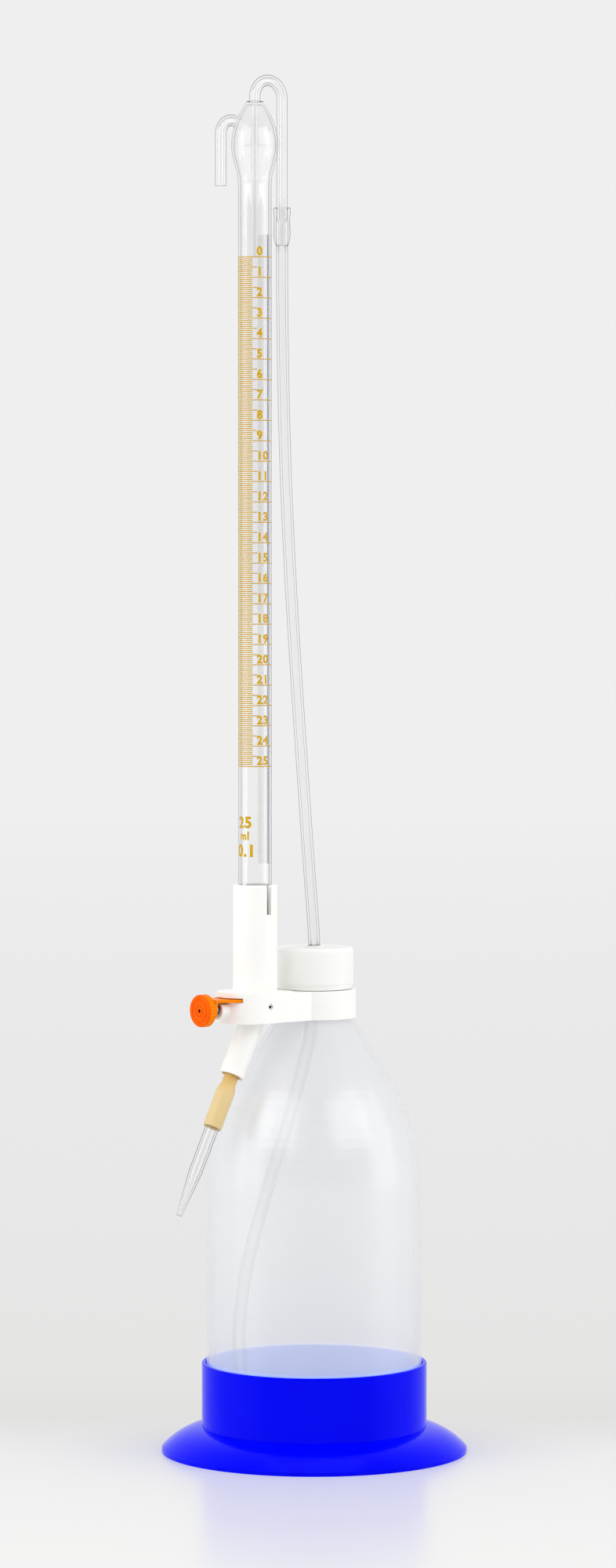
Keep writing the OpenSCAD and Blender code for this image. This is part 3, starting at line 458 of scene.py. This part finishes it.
# Opal glass, fused into the wall: milky white band behind the scale, lit through from the back
def fused_opal_glass():
    made, tree, surface, place = finish("fused_opal_glass")
    cloud = add(tree, "ShaderNodeTexNoise", {"Vector": place, "Scale": 1 / (4 * MM), "Detail": 2})
    tint = add(tree, "ShaderNodeValToRGB", {"Fac": cloud}, stops=((0, "#F6F5F0"), (1, "#FCFBF8")))
    feed(tree, surface, {"Base Color": tint, "Roughness": 0.3})
    through = add(tree, "ShaderNodeBsdfTranslucent", {"Color": tint})
    body = add(tree, "ShaderNodeMixShader", {0: 0.75, 1: surface, 2: through})
    clear = add(tree, "ShaderNodeBsdfTransparent")
    mix = add(tree, "ShaderNodeMixShader", {0: 0.17, 1: clear, 2: body})
    feed(tree, tree.nodes["Material Output"], {"Surface": mix})
    return made


# Cobalt glass thread, fused on the opal band: a thin strong blue line
def fused_cobalt_glass():
    made, tree, surface, place = finish("fused_cobalt_glass")
    cloud = add(tree, "ShaderNodeTexNoise", {"Vector": place, "Scale": 1 / (3 * MM), "Detail": 2})
    tint = add(tree, "ShaderNodeValToRGB", {"Fac": cloud}, stops=((0, "#2020B8"), (1, "#3838D0")))
    feed(tree, surface, {"Base Color": tint, "Roughness": 0.3})
    return made


blue = moulded_polypropylene_blue()
milky = blown_polyethylene_milky()
cap_white = moulded_polyethylene_cap()
foam = foamed_polyethylene_liner()
white = moulded_abs_white()
glass = drawn_borosilicate_glass("drawn_borosilicate_glass", 0, "#D6DAD8", False)
tip_glass = drawn_borosilicate_glass("drawn_capillary_glass", SPOUT_TILT, "#BCC2C0", True)
vinyl = extruded_vinyl_clear()
latex = dipped_latex_amber()
steel = drawn_steel_bright()
orange = moulded_acetal_orange()
ink = fired_ceramic_ink_gold()
opal = fused_opal_glass()
cobalt = fused_cobalt_glass()

# Free hose from the cap up to the glass leg, then the same hose inside the bottle
HOSE_R = 2.5 * MM
HOSE_WALL = 1.0 * MM
fill_route = [Vector(p) * MM for p in (
    (-18, 0, 519), (-18, 0, 510), (-17.9, 0, 495), (-17.7, 0, 480), (-17.4, 0, 465), (-17, 0, 450),
    (-16.5, 0, 435), (-15.9, 0, 420), (-15.1, 0, 405), (-14.2, 0, 390), (-13.2, 0, 375), (-12.1, 0, 360),
    (-10.9, 0, 345), (-9.7, 0, 330), (-8.4, 0, 315), (-7.1, 0, 300), (-5.8, 0, 285), (-4.5, 0, 270),
    (-3.3, 0, 257), (-2.1, 0, 244), (-1.1, 0, 234), (-0.3, 0, 226), (0, 0, 219.2))]
dip_route = [Vector(p) * MM for p in (
    (0, 0, 219), (0, 0, 208), (0, 0, 196), (-1, 0, 186), (-3.4, 0, 176), (-7, 0, 165), (-11.2, 0, 153),
    (-15.8, 0, 141), (-20.4, 0, 130), (-25.2, 0, 118), (-30, 0, 106), (-34.4, 0, 94), (-38, 0, 82),
    (-40.6, 0, 70), (-42, 0, 58), (-42, 0, 46), (-40.4, 0, 35), (-37, 0, 25), (-32, 0, 16), (-27, 0, 10))]

riser = piece("riser_hose", tube_mesh([(p, HOSE_R) for p in fill_route]), vinyl, "burette")
walled(riser, HOSE_WALL)
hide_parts("fill_hose")

suction = piece("dip_tube", tube_mesh([(p, HOSE_R) for p in dip_route]), vinyl, "burette")
walled(suction, HOSE_WALL)
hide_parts("dip_hose")

# Rubber hose: over the glass nipple, flat at the pin, round again down the spout and over the tip; each pair
# is a height or a way along the spout, and the hose's radius there, in millimetres
RUBBER_WALL = 1.2 * MM
PINCH_X, PINCH_Z = -32.05 * MM, 195 * MM
PINCH_REACH = 4.5 * MM
PINCH_WIDER, PINCH_FLATTER = 0.75, 0.3
rubber_line = [(Vector((TUBE_X, 0, z * MM)), r * MM) for z, r in (
    (217.2, 4.05), (212, 4.05), (207.2, 4.05), (204.7, 3.1), (203, 3.1), (200.5, 3.1))]
rubber_line += [(Vector((PINCH_X, 0, PINCH_Z + z * MM)), r * MM) for z, r in ((1, 2.4), (0, 2.2), (-1, 2.4))]
rubber_line += [(SPOUT_TURN + SPOUT_RUN * s * MM, r * MM) for s, r in ((4, 3.1), (8, 3.1), (16, 3.1))]
rubber_line += [(SPOUT_TURN + SPOUT_RUN * (SPOUT_MOUTH + s * MM), r * MM) for s, r in (
    (0, 3.1), (4, 3.1), (5.2, 3.5), (6.5, 3.95), (9, 4.05), (16, 4.05), (23.5, 4.05), (24, 3.9))]
rubber = piece("valve_tubing", tube_mesh(rubber_line, 9, False), latex, "burette")
for vert in rubber.data.vertices:
    squeeze = max(0.0, 1 - abs(vert.co.z - PINCH_Z) / PINCH_REACH)
    if squeeze > 0:
        vert.co.y *= 1 + PINCH_WIDER * squeeze
        vert.co.x = PINCH_X + (vert.co.x - PINCH_X) * (1 - PINCH_FLATTER * squeeze)
walled(rubber, RUBBER_WALL)
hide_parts("valve_hose")

# Return spring: six turns of wire between the pocket's floor and the slide's end plate
SPRING_START, SPRING_END = -45.2 * MM, -56.6 * MM
TURNS, PER_TURN = 6, 24
COIL_R, WIRE_R = 2.4 * MM, 0.3 * MM
coil = []
for k in range(TURNS * PER_TURN + 1):
    swing = math.tau * k / PER_TURN
    x = SPRING_START + (SPRING_END - SPRING_START) * k / (TURNS * PER_TURN)
    coil.append((Vector((x, COIL_R * math.cos(swing), SCREW_Z + COIL_R * math.sin(swing))), WIRE_R))
spring = piece("slide_spring", tube_mesh(coil, 3, False), steel, "burette")
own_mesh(spring)
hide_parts("return_spring")

# Printing on the tube: angles in degrees are seen from the front, positive to the right
FRONT = math.radians(230)
ZERO_Z = 513.2 * MM
PER_ML = 8.64 * MM
CAPACITY = 25
INK_T = 0.02 * MM


def on_tube(degrees, radius, z):
    """The point at an angle, a radius and a height round the tube."""
    angle = FRONT + math.radians(degrees)
    return Vector((TUBE_X + radius * math.cos(angle), radius * math.sin(angle), z))


def face_out(bm):
    """Turn every face away from the tube's axis."""
    bm.normal_update()
    centres = {face: face.calc_center_median() for face in bm.faces}
    inward = [face for face, spot in centres.items()
              if face.normal.dot(Vector((spot.x - TUBE_X, spot.y, 0))) < 0]
    bmesh.ops.reverse_faces(bm, faces=inward)


def band(bm, start, end, low, high, radius, steps):
    """A strip round the tube: one upright edge, spun about the axis."""
    ends = [bm.verts.new(on_tube(start, radius, z)) for z in (low, high)]
    edge = bm.edges.new(ends)
    bmesh.ops.spin(bm, geom=ends + [edge], cent=(TUBE_X, 0, 0), axis=(0, 0, 1),
                   angle=math.radians(end - start), steps=steps)


# Graduation lines: the angle where each kind ends, and its thickness
LINES_FROM = -106
LINE_STEP = 9
WHOLE, HALF, TENTH = (74, 0.4 * MM), (9, 0.42 * MM), (-8, 0.42 * MM)
marks = bmesh.new()
for n in range(CAPACITY * 10 + 1):
    reach, thick = WHOLE if n % 10 == 0 else HALF if n % 5 == 0 else TENTH
    z = ZERO_Z - n * PER_ML / 10
    band(marks, LINES_FROM, reach, z - thick / 2, z + thick / 2, TUBE_R + 0.02 * MM,
         (reach - LINES_FROM) // LINE_STEP)
face_out(marks)
walled(piece("scale_lines", marks, ink, "burette"), INK_T, 1, False)


def print_text(bm, words, size, degrees, low):
    """Text wrapped on the tube, centred on an angle, its foot at a height."""
    font = bpy.data.curves.new("figures", "FONT")
    font.body = words
    font.size = size
    font.align_x = "CENTER"
    font.offset = size * 0.042
    font.space_character = 1.12
    font.resolution_u = 3
    flat = mesh_of(font)
    for vert in flat.vertices:
        angle = degrees + math.degrees(vert.co.x / TUBE_R)
        vert.co = on_tube(angle, TUBE_R + 0.03 * MM, low + vert.co.y)
    bm.from_mesh(flat)
    bpy.data.meshes.remove(flat)


# Figures beside the whole lines, and under the scale the volume, its unit and the division
FIGURE_SIZE, FIGURE_LIFT = 5 * MM, 0.75 * MM
figures = bmesh.new()
for ml in range(CAPACITY + 1):
    print_text(figures, str(ml), FIGURE_SIZE, 17 if ml < 10 else 28, ZERO_Z - ml * PER_ML + FIGURE_LIFT)
print_text(figures, str(CAPACITY), 6.6 * MM, -39, 271.1 * MM)
print_text(figures, "ml", 4.7 * MM, -40, 266 * MM)
print_text(figures, "0.1", 7 * MM, -36, 258.9 * MM)
bmesh.ops.dissolve_degenerate(figures, dist=0.002 * MM, edges=figures.edges)
bmesh.ops.triangulate(figures, faces=figures.faces)
face_out(figures)
walled(piece("scale_figures", figures, ink, "burette", False), INK_T, 1, False)

# Opal band on the back of the tube, with a blue thread on each of its sides
BAND_LOW, BAND_HIGH = 255.2 * MM, 523.3 * MM
BAND_FROM, BAND_TO = 99, 171
THREAD_FROM, THREAD_TO = 129.5, 132.5
BAND_T = 0.12 * MM
THREAD_T = 0.02 * MM
stripe = bmesh.new()
band(stripe, BAND_FROM, BAND_TO, BAND_LOW, BAND_HIGH, TUBE_R + 0.05 * MM, 16)
face_out(stripe)
walled(piece("opal_band", stripe, opal, "burette"), BAND_T, 1)
for name, radius in (("blue_thread", TUBE_R + 0.02 * MM), ("blue_thread_back", TUBE_R + 0.18 * MM)):
    thread = bmesh.new()
    band(thread, THREAD_FROM, THREAD_TO, BAND_LOW, BAND_HIGH, radius, 3)
    face_out(thread)
    walled(piece(name, thread, cobalt, "burette"), THREAD_T, 1)

# Stretched vinyl sleeve over the leg's nozzle: flared at the top, waisted, full again, drawn in at its foot;
# the outline is radius and height in millimetres, down the outside and up the inside
cuff_outline = [
    (2.38, 535.0), (3.55, 535.0), (3.68, 534.5), (3.6, 532.4), (3.42, 530.6), (3.46, 528.6), (3.54, 526.2),
    (3.62, 523.6), (3.4, 521.6), (2.95, 519.8), (2.7, 519.05), (2.52, 519.05), (2.52, 520.4), (2.7, 523.4),
    (2.62, 527.6), (2.5, 530.2), (2.38, 532.4)]
cuff_points = [Vector((LEG_X + r * MM, 0, z * MM)) for r, z in cuff_outline]
cuff = turned(cuff_points, (LEG_X, 0, 0), (0, 0, 1), 360, 32)
sleeve_cuff = piece("stretched_cuff", cuff, vinyl, "burette")
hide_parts("hose_cuff")

# Pinch pin: a rolled spring pin, hollow, with its slot; the outline is radius and place across the arm in
# millimetres
PIN_CENTRE = Vector((-35.2, 0, 195.017)) * MM
PIN_TURN = 336
pin_outline = [(0.7, -12.7), (1.08, -12.7), (1.25, -12.4), (1.25, 12.4), (1.08, 12.7), (0.7, 12.7)]
pin_points = [PIN_CENTRE + Vector((r, y, 0)) * MM for r, y in pin_outline]
pin = turned(pin_points, PIN_CENTRE, (0, 1, 0), PIN_TURN, 36)
rolled_pin = piece("rolled_pin", pin, steel, "burette", False)
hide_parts("pinch_pin")

# Finishes of the solids that stay
for name, material in {
        "stand_base": blue, "bottle": milky, "screw_cap": cap_white, "cap_liner": foam, "holder_arm": white,
        "burette_sleeve": white, "outlet_spout": white, "burette_tube": glass, "outlet_tip": tip_glass,
        "screw_spindle": steel, "thrust_washer": steel,
        "pinch_slide": orange, "fine_screw_knob": orange}.items():
    nodes[name].material_slots[0].material = material


# Painted board as the floor: pale with a weak sheen; behind the object and far round it the floor passes into a
# painted glowing tone, darkest as painted shade just behind the object, that meets the background without an
# edge
def studio_floor():
    made, tree, surface, place = finish("studio_floor")
    feed(tree, surface, {"Base Color": lin("#E7E7E6"), "Roughness": 0.24, "Specular IOR Level": 0.09})
    away = add(tree, "ShaderNodeVectorMath", {0: place, 1: tuple(-back)},
               operation="DOT_PRODUCT").outputs["Value"]
    reach = add(tree, "ShaderNodeVectorMath", {0: place}, operation="LENGTH").outputs["Value"]

    # Where the painted tone begins: just behind the object, and in a wide circle on the other sides
    behind = add(tree, "ShaderNodeMapRange", {"Value": away, "From Min": -0.01, "From Max": 0.1},
                 interpolation_type="SMOOTHSTEP")
    wide = add(tree, "ShaderNodeMapRange", {"Value": reach, "From Min": 0.5, "From Max": 1.5},
               interpolation_type="SMOOTHSTEP")
    far = add(tree, "ShaderNodeMath", {0: behind, 1: wide}, operation="MAXIMUM")

    # The painted tone grows paler with distance; just behind the object it is darkest, as painted shade
    round_about = add(tree, "ShaderNodeMath", {0: reach, 1: 0.9, 2: -0.4}, operation="MULTIPLY_ADD")
    span = add(tree, "ShaderNodeMath", {0: away, 1: round_about}, operation="MAXIMUM")
    tone = add(tree, "ShaderNodeMapRange", {"Value": span, "From Min": 0, "From Max": 6})
    shade = add(tree, "ShaderNodeValToRGB", {"Fac": tone},
                stops=((0.016, "#E1E1E0"), (1, "#EFEFEF"), (0.034, "#E5E5E4"), (0.17, "#E8E8E8")))
    glow = add(tree, "ShaderNodeEmission", {"Color": shade})
    seen = eye_rays(tree, add(tree, "ShaderNodeLightPath"))
    share = add(tree, "ShaderNodeMath", {0: seen, 1: far}, operation="MULTIPLY")
    mix = add(tree, "ShaderNodeMixShader", {0: share, 1: surface, 2: glow})
    feed(tree, tree.nodes["Material Output"], {"Surface": mix})
    return made


FLOOR_HALF = 60
ground = bmesh.new()
bmesh.ops.create_grid(ground, x_segments=2, y_segments=2, size=FLOOR_HALF)
ground_mesh = bpy.data.meshes.new("floor")
ground.to_mesh(ground_mesh)
ground.free()
floor = bpy.data.objects.new("floor", ground_mesh)
scene.collection.objects.link(floor)
ground_mesh.materials.append(studio_floor())

# Background: an even pale tone for the camera, dimmer from the front in reflections, and fill light that is
# strongest from behind
world = bpy.data.worlds.new("studio")
scene.world = world
world.use_nodes = True
sky = world.node_tree
sky.nodes.clear()
path = add(sky, "ShaderNodeLightPath")
heading = add(sky, "ShaderNodeTexCoord").outputs["Generated"]
toward = add(sky, "ShaderNodeVectorMath", {0: heading, 1: tuple(-back)},
             operation="DOT_PRODUCT").outputs["Value"]
fill = add(sky, "ShaderNodeMapRange", {"Value": toward, "From Min": -0.4, "From Max": 0.6,
                                       "To Min": 0.45, "To Max": 0.84})
light = add(sky, "ShaderNodeBackground", {"Color": (1, 1, 1, 1), "Strength": fill})
depth = add(sky, "ShaderNodeMapRange", {"Value": toward, "From Min": -0.7, "From Max": 0.75,
                                        "To Min": 0.3, "To Max": 1})
held = add(sky, "ShaderNodeMath", {0: depth, 1: path.outputs["Is Camera Ray"]}, operation="MAXIMUM")
pale = add(sky, "ShaderNodeBackground", {"Color": lin("#EFEFEF"), "Strength": held})
both = add(sky, "ShaderNodeMixShader", {0: eye_rays(sky, path), 1: light, 2: pale})
add(sky, "ShaderNodeOutputWorld", {"Surface": both})

# Soft lamps aimed at the middle of the object: distance to the front, to the right and up, then the lamp's
# width, height and power
LAMP_AIM = UP * 0.25
for name, near, aside, height, wide, high, power in (
        ("left_softbox", 0.89, -0.95, 1.0, 1.25, 0.8, 6.3),
        ("right_softbox", 0.89, 0.95, 1.0, 1.25, 0.8, 6.3),
        ("top_softbox", 0.3, 0, 2.2, 1.6, 1.6, 5.5),
        ("left_strip", 0.35, -1.3, 0.45, 0.9, 1.3, 5),
        ("right_strip", 0.2, 1.35, 0.45, 0.9, 1.3, 5)):
    lamp = bpy.data.lights.new(name, "AREA")
    lamp.shape = "RECTANGLE"
    lamp.size = wide
    lamp.size_y = high
    lamp.energy = power
    softbox = bpy.data.objects.new(name, lamp)
    scene.collection.objects.link(softbox)
    softbox.location = back * near + right * aside + UP * height
    softbox.rotation_euler = (LAMP_AIM - softbox.location).to_track_quat("-Z", "Y").to_euler()
    softbox.visible_camera = False
